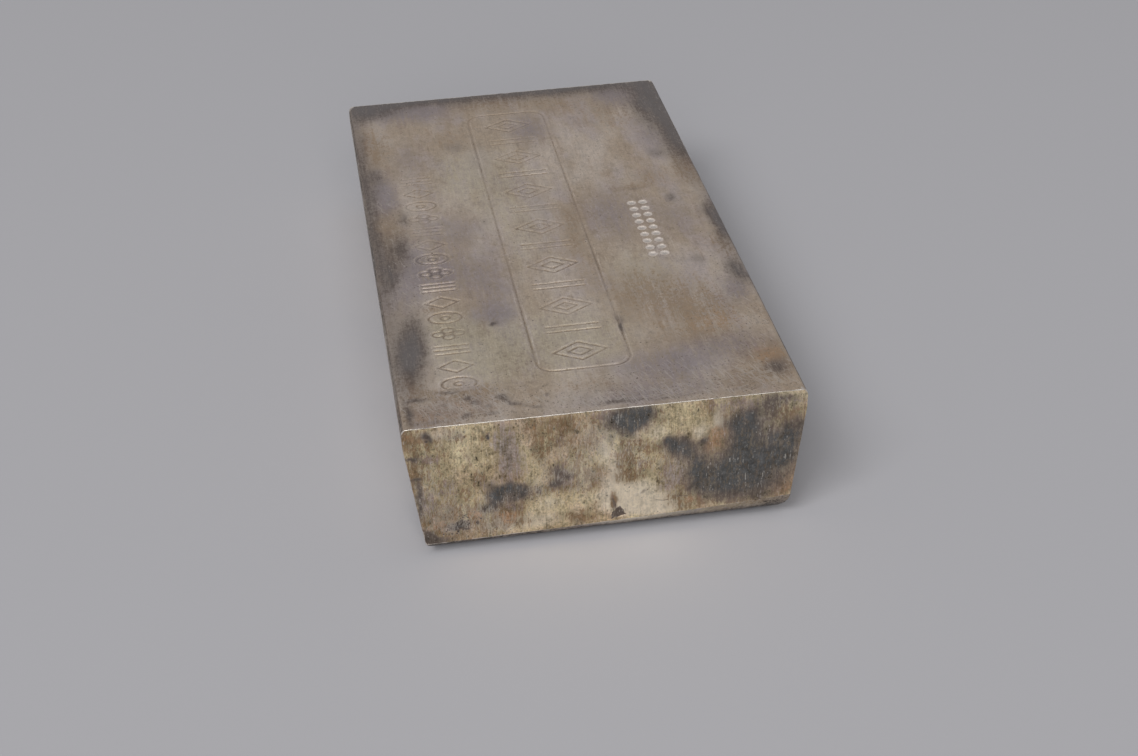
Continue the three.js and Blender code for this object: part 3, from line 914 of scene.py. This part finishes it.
@dataclass
class Patina:
    """The films over the bar, with painted shade on the foot. Those in open view are placed, and the rest are
    scattered.
    """

    warp_reach: float = 0.9
    # The foot's soot and bronze are tarnish. Their thickening towards the floor is painted shade: the dark of
    # the shadowed gap that the lower foot reflects.
    foot_tarnish_and_shade: dict[Film, float] = field(default_factory=lambda: {Film.SOOT: 1.0, Film.BRONZE: 0.9})
    foot_shade_rise: Pair = (4.0, 0.8)
    rim_films: dict[Film, float] = field(default_factory=lambda: {Film.SOOT: 0.58, Film.BRONZE: 0.5})
    rim_rise: Pair = (20.0, 28.5)
    scattered: dict[Film, int] = field(
        default_factory=lambda: {
            Film.SOOT: 12, Film.VIOLET: 16, Film.BRONZE: 20, Film.OLIVE: 9,
            Film.BARE: 8, Film.RUST: 5, Film.SPECKS: 8,
        }
    )

    def spots(self, zone: Zone, film: Film, low: np.ndarray, high: np.ndarray) -> tuple[Spot, ...]:
        """Lists the spots of one film on one face.

        Args:
            zone: The face.
            film: The film.
            low: The face's lowest corner.
            high: Its highest corner.

        Returns:
            The placed spots where the face has them, and otherwise scattered ones.
        """
        if zone in PLACED_FILMS:
            return PLACED_FILMS[zone].get(film, ())
        dice = Random(f"{zone.name} {film.name}")
        spots = []
        for _ in range(self.scattered.get(film, 0)):
            width = dice.uniform(1.0, 4.2)
            stretch = dice.uniform(0.5, 1.6)
            strength = dice.uniform(0.3, 0.9)
            if zone.finish is Finish.MOULDED:
                width *= 1.6
                strength *= 0.75
            x, y = dice.uniform(low[0], high[0]), dice.uniform(low[1], high[1])
            spots.append((x, y, width, width * stretch, strength, dice.uniform(-25.0, 25.0)))
        return tuple(spots)

    def cover(self, mesh: bpy.types.Mesh, facing: list[Zone], traces: Traces) -> None:
        """Writes the films to the mesh, one value for each corner of each face.

        Args:
            mesh: The bar's mesh, with its relief.
            facing: The zone of each of its faces.
            traces: What each vertex has of a mark.
        """
        places = read_vectors(mesh.vertices, "co") / MM
        corner_vertex = np.empty(len(mesh.loops), dtype=int)
        mesh.loops.foreach_get("vertex_index", corner_vertex)
        zones = np.repeat([zone.value for zone in facing], [polygon.loop_total for polygon in mesh.polygons])
        values = np.zeros((2, len(mesh.loops), 4))
        for zone in Zone:
            corners = np.flatnonzero(zones == zone.value)
            vertices, back = np.unique(corner_vertex[corners], return_inverse=True)
            face_places = places[vertices][:, zone.axes]
            marks = {name: trace[vertices] for name, trace in traces.items()}
            for film in Film:
                if film is Film.WEAR:
                    amount = self.wear(zone, marks)
                else:
                    amount = self.mark_films(film, self.amount(zone, film, face_places), marks)
                attribute, channel = film.value
                values[attribute, corners, channel] = amount[back]
        for name, value in zip(FILM_ATTRIBUTES, values):
            layer = mesh.attributes.new(name, "FLOAT_COLOR", "CORNER")
            layer.data.foreach_set("color", value.ravel())

    def amount(self, zone: Zone, film: Film, places: np.ndarray) -> np.ndarray:
        """Adds up the spots of one film.

        Args:
            zone: The face.
            film: The film.
            places: Places on the face.

        Returns:
            How thick the film is at each place, from 0 to 1.
        """
        seed = 11.0 + film.value[0] * 4 + film.value[1]
        broad, fine = (
            np.stack([wander(places, (waves, waves), seed + step) for step in steps], axis=1)
            for waves, steps in ((0.13, (0, 30)), (0.5, (60, 90)))
        )
        moved = places + self.warp_reach * (1.2 * broad + 0.8 * fine)
        clear = np.ones(len(places))
        # On the foot, soot and bronze thicken towards the floor as painted shade.
        if zone is Zone.FOOT:
            clear -= self.foot_tarnish_and_shade.get(film, 0.0) * smoothstep(*self.foot_shade_rise, places[:, 1])
        elif zone in (Zone.LEFT_SIDE, Zone.RIGHT_SIDE):
            clear -= self.rim_films.get(film, 0.0) * smoothstep(*self.rim_rise, places[:, 1])
        spots = self.spots(zone, film, places.min(axis=0), places.max(axis=0))
        for x, y, half_width, half_height, strength, *turn in spots:
            angle = math.radians(turn[0]) if turn else 0.0
            dx, dy = moved[:, 0] - x, moved[:, 1] - y
            across = (dx * math.cos(angle) + dy * math.sin(angle)) / half_width
            up = (dy * math.cos(angle) - dx * math.sin(angle)) / half_height
            clear *= 1.0 - min(1.15 * strength, 1.0) * np.exp(-0.62 * (across**2 + up**2))
        return 1.0 - clear

    def mark_films(self, film: Film, amount: np.ndarray, marks: Traces) -> np.ndarray:
        """Darkens the bottom of a mark, clears its ridges, and clears the round punches to bright silver as a
        painted glint.

        Args:
            film: The film.
            amount: How thick it is at each vertex.
            marks: What each vertex has of a mark.

        Returns:
            The film with the marks in it.
        """
        # The round punches become bright silver as a painted glint.
        fresh_and_glint = smoothstep(0.0, 0.4, marks["dot"])
        if film is Film.BARE:
            return np.maximum(amount, np.maximum(0.4 * marks["ridge"], fresh_and_glint))
        gathered = {Film.SOOT: 0.5, Film.BRONZE: 0.85}.get(film)
        if gathered is not None:
            amount = np.maximum(amount, np.maximum(gathered * marks["groove"], marks["pit"]))
        return amount * (1.0 - fresh_and_glint) * (1.0 - 0.6 * marks["ridge"])

    def wear(self, zone: Zone, marks: Traces) -> np.ndarray:
        """Works out how bright each vertex is kept, from 0 to 1: by handling on worn edges, by painted
        highlight at the crease and by painted glint in the round punches.
        """
        edge = marks["edge"] * (0.5 if zone is Zone.FOOT else 1.0)
        return np.maximum(edge, smoothstep(0.3, 1.0, marks["dot"]))


# The finishes.


@dataclass
class NodeBench:
    """Lays out the nodes of one material or world."""

    tree: bpy.types.NodeTree

    def add(self, kind: str, feeds: dict[str | int, object], **settings: object) -> bpy.types.Node:
        """Adds a node.

        Args:
            kind: The node's type.
            feeds: What its inputs get, by name or by number.
            settings: Its properties.

        Returns:
            The node.
        """
        node = self.tree.nodes.new(kind)
        for name, value in settings.items():
            setattr(node, name, value)
        for name, source in feeds.items():
            self.feed(node.inputs[name], source)
        return node

    def feed(self, target: Socket, source: object) -> None:
        """Gives an input a link where the source is a socket, and otherwise a value.

        Args:
            target: The input.
            source: A socket, a number, a vector or a colour.
        """
        if isinstance(source, Socket):
            self.tree.links.new(source, target)
        elif target.type == "RGBA" and len(source) == 3:
            target.default_value = (*source, 1.0)
        else:
            target.default_value = source

    def sum(self, operation: str, *values: object) -> Socket:
        """Works out a sum by the Math node's operation of this name."""
        return self.add("ShaderNodeMath", dict(enumerate(values)), operation=operation).outputs[0]

    def rise(self, value: object, low: float, high: float, top: float = 1.0) -> Socket:
        """Eases from 0 at low to top at high."""
        ends = dict(enumerate((value, low, high, 0.0, top)))
        return self.add("ShaderNodeMapRange", ends, interpolation_type="SMOOTHSTEP").outputs[0]

    def mix(self, share: object, first: object, second: object) -> Socket:
        """Mixes two colours.

        Args:
            share: How much of the second there is.
            first: The first colour.
            second: The second.

        Returns:
            The mixed colour.
        """
        node = self.add("ShaderNodeMix", {"Factor": share}, data_type="RGBA")
        inputs = [socket for socket in node.inputs if socket.type == "RGBA"]
        for target, source in zip(inputs, (first, second)):
            self.feed(target, source)
        return next(socket for socket in node.outputs if socket.type == "RGBA")

    def stretch(self, vector: Socket, scale: Triple) -> Socket:
        """Scales a vector along each axis."""
        return self.add("ShaderNodeVectorMath", {0: vector, 1: scale}, operation="MULTIPLY").outputs[0]

    def grain(self, vector: Socket, scale: float, detail: float, roughness: float = 0.55) -> Socket:
        """Makes smooth noise, from 0 to 1, whose finer layers are as many as detail says."""
        feeds = {"Vector": vector, "Scale": scale, "Detail": detail, "Roughness": roughness}
        return self.add("ShaderNodeTexNoise", feeds, noise_dimensions="3D").outputs["Fac"]

    def split(self, colour: Socket) -> bpy.types.bpy_prop_collection:
        """Splits a colour into its three channels."""
        return self.add("ShaderNodeSeparateColor", {0: colour}).outputs


@dataclass(frozen=True)
class FilmLook:
    """How one film of tarnish looks."""

    tint: Triple
    cover: float
    edge: Pair = (0.09, 0.76)
    ragged: float = 0.6


@dataclass(frozen=True)
class TarnishedSilver:
    """Old silver under films of tarnish, with the grain that its making left."""

    name: str
    silver: Triple
    toned: Triple
    umber: Triple
    rosy: Triple
    drift: Triple
    grain: Triple
    streak: Triple
    grit: Triple
    roughness: float
    olive: FilmLook
    bare: FilmLook
    bronze: FilmLook
    rust: FilmLook
    violet: FilmLook
    soot: FilmLook
    haze: Triple = (0.31, 0.265, 0.235)
    haze_cover: float = 0.8
    pepper: Triple = (0.25, 0.17, 0.11)
    pepper_cover: float = 0.6
    umber_cover: float = 0.8
    rosy_cover: float = 0.6
    char: Triple = (0.095, 0.072, 0.058)
    contrast: float = 1.0
    # Bright silver for scratches and worn edges, also used for the painted highlights and glints.
    fresh_and_glint: Triple = (0.74, 0.685, 0.61)
    speck: Triple = (0.13, 0.10, 0.08)
    hairline_cover: float = 0.42
    scuff_axis: Triple = (0.0, 1.0, 0.0)
    scuff_scale: Triple = (0.6, 5.0, 5.0)
    scuff_angles: Triple = (83.0, 98.0, 62.0)
    scuff_gather: float = 0.23
    scuff_edge: Pair = (0.66, 0.76)
    scuff_cover: float = 0.3
    bump_height: float = 0.02 * MM

    def make(self) -> bpy.types.Material:
        """Builds the material.

        Returns:
            The material.
        """
        material = bpy.data.materials.new(self.name)
        material.use_nodes = True
        material.node_tree.nodes.clear()
        SilverBench(material.node_tree, self).lay()
        return material

    @property
    def layers(self) -> dict[Film, FilmLook]:
        """How each film looks, in the order in which they are laid."""
        films = (Film.OLIVE, Film.BARE, Film.BRONZE, Film.RUST, Film.VIOLET, Film.SOOT)
        return {film: getattr(self, film.name.lower()) for film in films}


@dataclass
class SilverBench(NodeBench):
    """Lays out the nodes of tarnished silver. Its noises are about zero."""

    look: TarnishedSilver
    place: Socket = field(init=False)
    noises: dict[str, Socket] = field(default_factory=dict)
    films: dict[Film, Socket] = field(default_factory=dict)

    def lay(self) -> None:
        """Lays out all the nodes."""
        self.place = self.stretch(self.add("ShaderNodeTexCoord", {}).outputs["Object"], (1 / MM,) * 3)
        even = (1.0, 1.0, 1.0)
        for name, axes, scale, detail, roughness in (
            ("cloud", self.look.drift, 1.0, 4.0, 0.6),
            ("blush", self.look.drift, 1.37, 3.0, 0.6),
            ("patch", self.look.drift, 3.3, 4.0, 0.62),
            ("mottle", even, 0.72, 4.0, 0.62),
            ("fine", even, 2.4, 3.0, 0.65),
            ("grain", self.look.grain, 1.0, 2.0, 0.65),
            ("streak", self.look.streak, 1.0, 3.0, 0.6),
            ("grit", self.look.grit, 1.0, 2.0, 0.7),
        ):
            pattern = self.grain(self.stretch(self.place, axes), scale, detail, roughness)
            self.noises[name] = self.sum("SUBTRACT", pattern, 0.5)
        for number, name in enumerate(FILM_ATTRIBUTES):
            layer = self.add("ShaderNodeAttribute", {}, attribute_name=name)
            sources = [*self.split(layer.outputs["Color"]), layer.outputs["Alpha"]]
            self.films.update({film: sources[film.value[1]] for film in Film if film.value[0] == number})
        colour, soot, wear = self.tint()
        rough = self.blend(self.look.roughness, mottle=0.18, grain=0.12)
        rough = self.sum("MULTIPLY_ADD", soot, 0.08, rough)
        height = self.blend(0.0, fine=0.6, grain=0.8)
        bump = {"Height": height, "Strength": 0.6, "Distance": self.look.bump_height}
        surface = {
            "Base Color": colour,
            "Metallic": self.sum("MULTIPLY_ADD", soot, -0.25, 0.95),
            "Roughness": self.sum("MULTIPLY_ADD", wear, -0.1, rough),
            "Normal": self.add("ShaderNodeBump", bump).outputs[0],
        }
        shader = self.add("ShaderNodeBsdfPrincipled", surface)
        self.add("ShaderNodeOutputMaterial", {"Surface": shader.outputs[0]})

    def blend(self, start: object, **strengths: float) -> Socket:
        """Adds noises to a number.

        Args:
            start: The number.
            strengths: How much of each noise to add, by its name.

        Returns:
            The sum.
        """
        for name, strength in strengths.items():
            start = self.sum("MULTIPLY_ADD", self.noises[name], strength, start)
        return start

    def mask(self, thickness: Socket, ragged: Socket, look: FilmLook) -> Socket:
        """Gives a film its ragged edge.

        Args:
            thickness: How thick the film is.
            ragged: Noise about zero.
            look: How the film looks.

        Returns:
            How much the film covers, from 0 to 1.
        """
        reach = self.sum("MULTIPLY_ADD", thickness, look.ragged, look.ragged * 0.22)
        moved = self.sum("MULTIPLY_ADD", ragged, reach, thickness)
        return self.rise(moved, *look.edge, look.cover)

    def ground(self) -> Socket:
        """Tints the silver that has no placed film on it.

        Returns:
            The colour.
        """
        look, noises = self.look, self.noises
        colour = self.mix(self.rise(noises["cloud"], -0.16, 0.09), look.silver, look.toned)
        blush = self.blend(noises["blush"], mottle=0.35)
        colour = self.mix(self.rise(blush, -0.02, 0.2, look.rosy_cover), colour, look.rosy)
        smear = self.blend(noises["patch"], streak=0.6, cloud=0.5)
        return self.mix(self.rise(smear, 0.02, 0.26, look.umber_cover), colour, look.umber)

    def tint(self) -> tuple[Socket, Socket, Socket]:
        """Lays the films over the silver, and then the specks, hairlines, scuffs, and the wear with its
        painted highlights.

        Returns:
            The colour, how much soot there is, and how bright wear and painted highlights keep the silver.
        """
        look, films, masks = self.look, self.films, {}
        calm = self.sum("MULTIPLY_ADD", films[Film.BARE], -0.85, 1.0)
        ragged = self.blend(0.0, mottle=1.7, fine=1.6, grain=2.2, streak=2.2, grit=2.6)
        ragged = self.sum("MULTIPLY", ragged, self.sum("MAXIMUM", calm, 0.0))
        colour = self.ground()
        for film, layer in look.layers.items():
            masks[film] = self.mask(films[film], ragged, layer)
            tint: object = layer.tint
            if film is Film.SOOT:
                pepper = self.rise(self.blend(self.noises["grit"], mottle=0.9), 0.05, 0.22, look.pepper_cover)
                tarnished = self.sum("SUBTRACT", 1.0, masks[Film.BARE])
                colour = self.mix(self.sum("MULTIPLY", pepper, tarnished), colour, look.pepper)
                colour = self.mix(self.rise(films[film], 0.05, 0.8, look.haze_cover), colour, look.haze)
                tint = self.mix(self.rise(films[film], 0.55, 0.95), look.char, tint)
                # Where soot and bronze are both thick, as low on the foot, this char is partly painted shade.
                tint = self.mix(self.rise(films[Film.BRONZE], 0.45, 0.85), tint, look.char)
            colour = self.mix(masks[film], colour, tint)
        strengths = {"grain": 1.2, "streak": 1.1, "mottle": 2.1, "fine": 1.6, "grit": 1.5, "patch": 1.2}
        shade = self.blend(0.0, **{name: look.contrast * strength for name, strength in strengths.items()})
        shade = self.sum("MULTIPLY_ADD", shade, self.sum("MAXIMUM", calm, 0.35), 1.0)
        shaded = self.add("ShaderNodeVectorMath", {0: colour, "Scale": shade}, operation="SCALE")
        colour = self.mix(self.specks(films[Film.SPECKS]), shaded.outputs[0], look.speck)
        hairlines = self.blend(self.noises["grain"], fine=0.5)
        colour = self.mix(self.rise(hairlines, 0.1, 0.27, look.hairline_cover), colour, look.fresh_and_glint)
        handled = self.blend(films[Film.SPECKS], patch=1.5)
        handled = self.sum("MULTIPLY_ADD", masks[Film.SOOT], -0.8, handled)
        colour = self.mix(self.scuffs(handled), colour, look.fresh_and_glint)
        wear = self.rise(self.blend(films[Film.WEAR], mottle=1.4, fine=0.5), 0.35, 0.95)
        return self.mix(wear, colour, look.fresh_and_glint), masks[Film.SOOT], wear

    def scuffs(self, handled: Socket) -> Socket:
        """Draws fine slanting scratches, more in some places than in others.

        Args:
            handled: How much each place is handled.

        Returns:
            How much the scratches cover, from 0 to 1.
        """
        look, cover = self.look, 0.0
        for number, degrees in enumerate(look.scuff_angles):
            turn = {"Vector": self.place, "Axis": look.scuff_axis, "Angle": math.radians(degrees)}
            turned = self.add("ShaderNodeVectorRotate", turn, rotation_type="AXIS_ANGLE").outputs[0]
            lines = self.grain(self.stretch(turned, look.scuff_scale), 1.0 + 0.13 * number, 1.0)
            lines = self.sum("MULTIPLY_ADD", handled, look.scuff_gather, lines)
            cover = self.sum("MAXIMUM", self.rise(lines, *look.scuff_edge, look.scuff_cover), cover)
        return cover

    def specks(self, thickness: Socket) -> Socket:
        """Scatters dark specks, few everywhere and many where the film is thick.

        Args:
            thickness: How thick the film of specks is.

        Returns:
            How much the specks cover, from 0 to 1.
        """
        swirl = self.add("ShaderNodeTexNoise", {"Vector": self.place, "Scale": 3.4}, noise_dimensions="3D")
        shift = {0: swirl.outputs["Color"], 1: (0.5,) * 3, 2: self.place}
        wavy = self.add("ShaderNodeVectorMath", shift, operation="MULTIPLY_ADD").outputs[0]
        chance = self.sum("MULTIPLY_ADD", thickness, 0.55, 0.035)
        cover: object = 0.0
        for scale, size in ((2.6, 0.46), (1.2, 0.27)):
            cells = self.add("ShaderNodeTexVoronoi", {"Vector": wavy, "Scale": scale}, feature="F1")
            first, second, _ = self.split(cells.outputs["Color"])
            radius = self.sum("MULTIPLY", self.sum("MULTIPLY_ADD", second, 0.8, 0.3), size)
            inside = self.sum("SUBTRACT", 1.0, self.sum("DIVIDE", cells.outputs["Distance"], radius))
            spot = self.rise(inside, 0.0, 0.6, 0.8)
            spot = self.sum("MULTIPLY", spot, self.sum("LESS_THAN", first, chance))
            cover = self.sum("MAXIMUM", spot, cover)
        return cover


PLANED_SILVER = TarnishedSilver(
    name="planed_silver",
    silver=(0.90, 0.765, 0.49),
    toned=(0.62, 0.485, 0.295),
    umber=(0.36, 0.25, 0.155),
    rosy=(0.72, 0.55, 0.42),
    drift=(0.15, 0.15, 0.09),
    grain=(3.0, 3.0, 0.4),
    streak=(1.5, 1.5, 0.13),
    grit=(1.7, 1.7, 1.0),
    roughness=0.42,
    olive=FilmLook((0.64, 0.54, 0.33), 0.7),
    bare=FilmLook((0.93, 0.825, 0.65), 0.85, (0.06, 0.7), 0.3),
    bronze=FilmLook((0.27, 0.18, 0.10), 0.92, (0.12, 0.72), 1.3),
    rust=FilmLook((0.52, 0.31, 0.17), 0.65),
    violet=FilmLook((0.31, 0.262, 0.262), 0.72, (0.16, 0.85), 0.7),
    soot=FilmLook((0.077, 0.079, 0.080), 0.95, (0.16, 1.0), 0.75),
)
POURED_SILVER = TarnishedSilver(
    name="poured_silver",
    silver=(0.715, 0.62, 0.51),
    toned=(0.595, 0.485, 0.36),
    umber=(0.37, 0.28, 0.20),
    rosy=(0.60, 0.525, 0.50),
    drift=(0.09, 0.035, 0.09),
    grain=(5.0, 0.3, 5.0),
    streak=(1.1, 0.05, 1.1),
    grit=(1.7, 1.2, 1.7),
    roughness=0.44,
    olive=FilmLook((0.62, 0.56, 0.40), 0.6),
    bare=FilmLook((0.92, 0.84, 0.75), 0.9),
    bronze=FilmLook((0.41, 0.305, 0.20), 0.8, (0.12, 0.85), 0.8),
    rust=FilmLook((0.56, 0.36, 0.20), 0.7, (0.09, 0.8), 0.4),
    violet=FilmLook((0.36, 0.32, 0.34), 0.75, (0.09, 0.8), 0.35),
    soot=FilmLook((0.14, 0.127, 0.122), 0.92, (0.1, 0.95), 0.38),
    haze=(0.33, 0.285, 0.265),
    haze_cover=0.6,
    umber_cover=0.5,
    contrast=0.3,
    pepper_cover=0.25,
    hairline_cover=0.25,
    scuff_cover=0.38,
    scuff_axis=(0.0, 0.0, 1.0),
    scuff_angles=(60.0, 74.0, -12.0),
    scuff_scale=(0.25, 2.8, 2.8),
    scuff_gather=0.16,
    scuff_edge=(0.71, 0.8),
)
MOULDED_SILVER = TarnishedSilver(
    name="moulded_silver",
    silver=(0.70, 0.62, 0.50),
    toned=(0.56, 0.46, 0.34),
    umber=(0.38, 0.28, 0.19),
    rosy=(0.52, 0.45, 0.43),
    drift=(0.08, 0.045, 0.1),
    grain=(1.2, 0.5, 1.2),
    streak=(0.7, 0.09, 0.9),
    grit=(1.6, 1.1, 1.6),
    roughness=0.5,
    olive=FilmLook((0.52, 0.46, 0.30), 0.7),
    bare=FilmLook((0.84, 0.77, 0.66), 0.8),
    bronze=FilmLook((0.35, 0.265, 0.175), 0.8, (0.16, 0.8), 1.1),
    rust=FilmLook((0.5, 0.3, 0.15), 0.7),
    violet=FilmLook((0.30, 0.27, 0.275), 0.75, (0.12, 0.8), 0.9),
    # The full soot cover and the very dark char paint the foot's shade where its films are thickest. On the
    # sides they darken thick soot over bronze.
    soot=FilmLook((0.12, 0.112, 0.105), 0.96, (0.2, 1.0), 0.9),
    char=(0.045, 0.036, 0.030),
    contrast=0.6,
    pepper_cover=0.35,
    bump_height=0.05 * MM,
)
FINISHES = {Finish.POURED: POURED_SILVER, Finish.PLANED: PLANED_SILVER, Finish.MOULDED: MOULDED_SILVER}


# The bar and the studio.


@dataclass
class Ingot:
    """The whole bar: its casting, its relief and its tarnish, as one piece."""

    casting: Casting
    marks: StruckMarks = field(default_factory=StruckMarks)
    patina: Patina = field(default_factory=Patina)

    def build(self) -> bpy.types.Object:
        """Makes the piece and puts it in the place of the plain solid.

        Returns:
            The finished object.
        """
        bm = self.casting.build()
        relief = Relief(self.casting, self.marks)
        relief.refine()
        mesh = bpy.data.meshes.new("cast_bar")
        bm.to_mesh(mesh)
        bm.free()
        for finish in Finish:
            mesh.materials.append(FINISHES[finish].make())
        zones = [Zone.facing(polygon.normal) for polygon in mesh.polygons]
        traces = relief.press(mesh)
        self.patina.cover(mesh, zones, traces)
        bar = bpy.data.objects.new("cast_bar", mesh)
        bpy.context.scene.collection.objects.link(bar)
        weighted = bar.modifiers.new("even_shading", "WEIGHTED_NORMAL")
        weighted.keep_sharp = True
        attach(bar, "root")
        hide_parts("ingot")
        return bar


@dataclass(frozen=True)
class Softbox:
    """A soft square light that faces the bar."""

    name: str
    towards: Triple
    size: float
    power: float
    distance: float = 4.0

    def hang(self) -> None:
        """Hangs the light."""
        towards = Vector(self.towards).normalized()
        lamp = bpy.data.lights.new(self.name, "AREA")
        lamp.shape = "SQUARE"
        lamp.size = self.size
        lamp.energy = self.power
        box = bpy.data.objects.new(self.name, lamp)
        box.location = towards * self.distance
        box.rotation_euler = towards.to_track_quat("Z", "Y").to_euler()
        bpy.context.scene.collection.objects.link(box)


@dataclass
class Studio:
    """The floor, the soft lights and the camera."""

    floor_half: float = 1.6
    floor_drop: float = 0.05 * MM
    floor_colour: Triple = (0.388, 0.384, 0.404)
    backdrop: Triple = (0.385, 0.380, 0.405)
    ambient: float = 0.20
    softboxes: tuple[Softbox, ...] = (
        Softbox("key_light", (-0.45, -0.47, 0.76), 1.8, 83.0),
        Softbox("top_light", (0.05, -0.16, 0.98), 2.1, 20.0),
        Softbox("front_light", (-0.14, -0.86, 0.49), 2.4, 98.0),
    )
    image_width: int = 1138
    focal_pixels: float = 1900.0
    sensor_width: float = 36.0
    view_azimuth: float = math.radians(-8.43)
    view_elevation: float = math.radians(32.48)
    view_roll: float = math.radians(-1.70)
    view_distance: float = 408.5 * MM
    view_target: Triple = (1.573 * MM, -14.92 * MM, 0.0)

    def build(self) -> None:
        """Makes the whole studio."""
        self.lay_floor()
        self.light_world()
        for softbox in self.softboxes:
            softbox.hang()
        self.place_camera()

    def lay_floor(self) -> None:
        """Lays the plain floor, which isn't part of the object."""
        bm = bmesh.new()
        bmesh.ops.create_grid(bm, x_segments=1, y_segments=1, size=self.floor_half)
        bmesh.ops.translate(bm, vec=(0, 0, -self.floor_drop), verts=bm.verts)
        mesh = bpy.data.meshes.new("floor")
        bm.to_mesh(mesh)
        bm.free()
        material = bpy.data.materials.new("grey_paper")
        material.use_nodes = True
        shader = material.node_tree.nodes["Principled BSDF"]
        shader.inputs["Base Color"].default_value = (*self.floor_colour, 1.0)
        shader.inputs["Roughness"].default_value = 0.9
        shader.inputs["Specular IOR Level"].default_value = 0.0
        mesh.materials.append(material)
        floor = bpy.data.objects.new("floor", mesh)
        bpy.context.scene.collection.objects.link(floor)

    def light_world(self) -> None:
        """Sets the plain surroundings, seen as the backdrop and felt as soft light."""
        world = bpy.data.worlds.new("studio")
        bpy.context.scene.world = world
        world.use_nodes = True
        world.node_tree.nodes.clear()
        bench = NodeBench(world.node_tree)
        rays = bench.add("ShaderNodeLightPath", {}).outputs
        seen = bench.sum("MAXIMUM", rays["Is Camera Ray"], rays["Is Glossy Ray"])
        seen = bench.sum("MAXIMUM", seen, rays["Is Transmission Ray"])
        soft = bench.add("ShaderNodeBackground", {"Color": (self.ambient,) * 3})
        backdrop = bench.add("ShaderNodeBackground", {"Color": self.backdrop})
        either = bench.add("ShaderNodeMixShader", {0: seen, 1: soft.outputs[0], 2: backdrop.outputs[0]})
        bench.add("ShaderNodeOutputWorld", {"Surface": either.outputs[0]})

    def place_camera(self) -> None:
        """Places the camera in front of the near end and above it."""
        azimuth, elevation, roll = self.view_azimuth, self.view_elevation, self.view_roll
        back = Vector((
            math.sin(azimuth) * math.cos(elevation),
            -math.cos(azimuth) * math.cos(elevation),
            math.sin(elevation),
        ))
        level = Vector((0, 0, 1)).cross(back).normalized()
        upright = back.cross(level)
        across = level * math.cos(roll) + upright * math.sin(roll)
        up = upright * math.cos(roll) - level * math.sin(roll)
        lens = bpy.data.cameras.new("camera")
        lens.sensor_fit = "HORIZONTAL"
        lens.sensor_width = self.sensor_width
        lens.lens = self.sensor_width * self.focal_pixels / self.image_width
        lens.clip_start = 0.01
        camera = bpy.data.objects.new("camera", lens)
        turned = Matrix((across, up, back)).transposed().to_4x4()
        place = Vector(self.view_target) + back * self.view_distance
        camera.matrix_world = Matrix.Translation(place) @ turned
        bpy.context.scene.collection.objects.link(camera)
        bpy.context.scene.camera = camera


def main() -> None:
    """Builds the studio and the bar."""
    logging.basicConfig(level=logging.INFO, format="%(name)s: %(message)s")
    bpy.context.scene.view_settings.view_transform = "Standard"
    Studio().build()
    LOG.info("studio ready")
    high = CAD_BOX[1]
    bar = Ingot(Casting(width=2 * high[0], length=2 * high[1], height=high[2])).build()
    LOG.info("%s: %d faces, %d vertices", bar.name, len(bar.data.polygons), len(bar.data.vertices))
    LOG.info("sizes noted")


if __name__ == "__main__":
    main()
